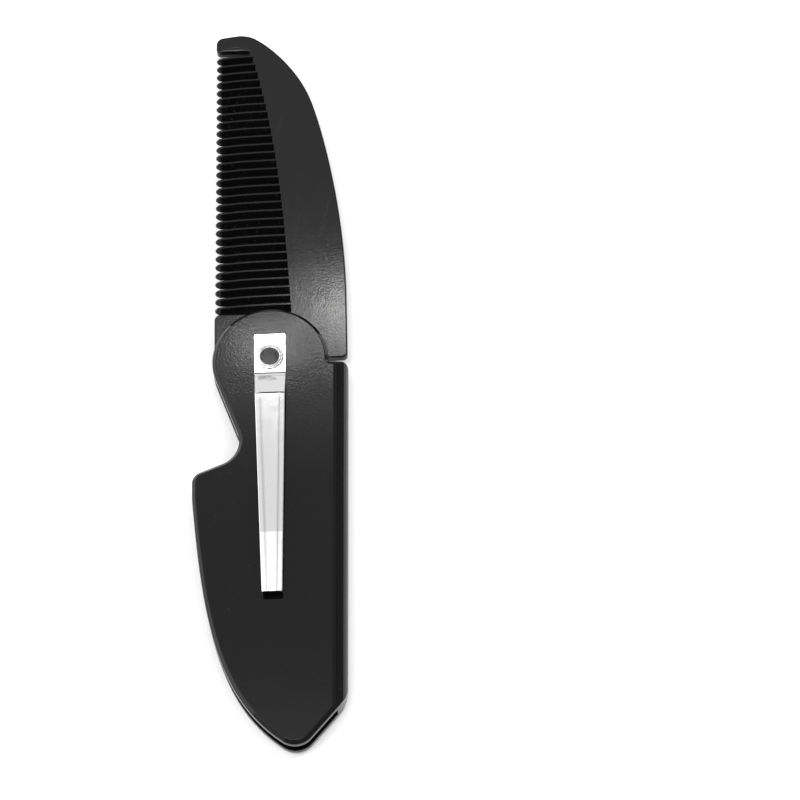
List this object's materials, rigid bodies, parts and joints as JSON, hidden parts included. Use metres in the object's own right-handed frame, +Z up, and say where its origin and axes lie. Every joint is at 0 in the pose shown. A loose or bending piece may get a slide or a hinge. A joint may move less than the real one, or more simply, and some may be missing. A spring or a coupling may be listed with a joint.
{
  "type": "folding comb",
  "caption": "Folding pocket comb: a curved toothed blade that swings out of a two-cheeked plastic case about a tubular rivet, with a sprung steel pocket clip on the case.",
  "frame": {"origin": "under the middle of the open comb's box, on the surface that the case lies on", "axes": "+Y along the case's spine towards the comb's tip when it is open, +X towards the spine, +Z up through the clip"},
  "size_m": [0.0341, 0.1781, 0.0104],
  "materials": {
    "black_plastic": "moulded satin black with a fine grain",
    "plated_steel": "bright nickel plate"
  },
  "bodies": {
    "handle": {"case": "black_plastic", "clip": "plated_steel", "eyelet": "plated_steel"},
    "blade": {"comb": "black_plastic"}
  },
  "joints": [
    {"name": "comb_fold", "type": "hinge", "parent": "handle", "child": "blade", "pos_m": [-0.0004, 0.00035, 0.0035], "axis": [0, 0, 1], "range_deg": [0, 179]}
  ]
}
